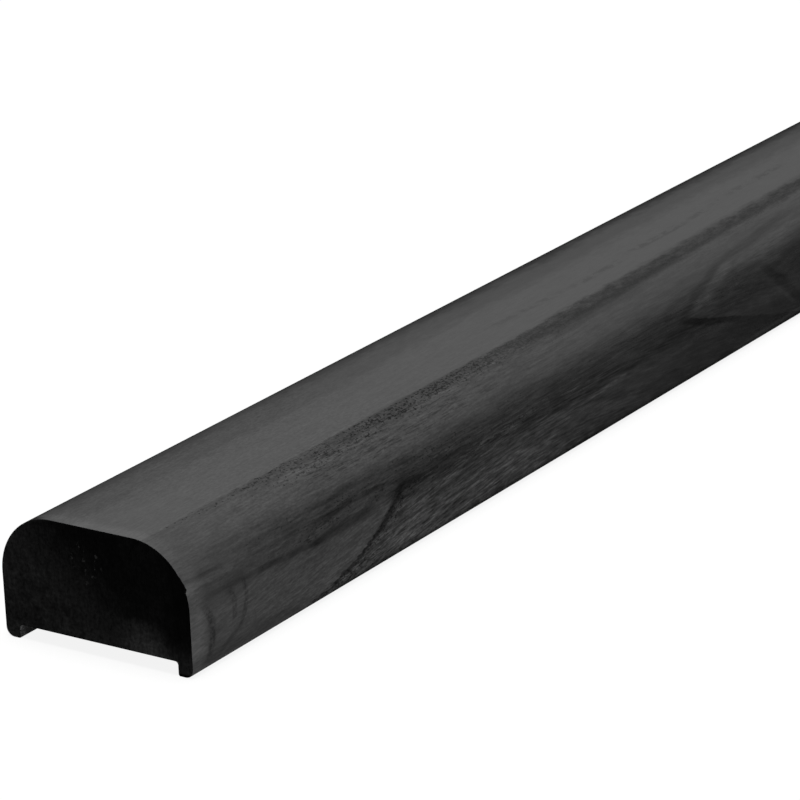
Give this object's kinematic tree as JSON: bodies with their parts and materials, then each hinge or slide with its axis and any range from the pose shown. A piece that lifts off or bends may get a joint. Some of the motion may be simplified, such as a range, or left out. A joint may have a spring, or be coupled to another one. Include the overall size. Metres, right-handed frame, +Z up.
{
  "type": "stair handrail length",
  "caption": "Straight length of black-stained moulded wood handrail with a flat top, rounded shoulders, upright sides and a wide shallow groove along its underside.",
  "frame": {"origin": "on the floor under the middle of the rail's length and width, at the underside of its lips", "axes": "+X across the rail, +Y along the grain from one sawn end to the other, +Z up through the flat top"},
  "size_m": [0.07, 2.4, 0.041],
  "materials": {
    "black_stained_wood": "satin"
  },
  "bodies": {
    "root": {"handrail": "black_stained_wood"}
  },
  "joints": []
}
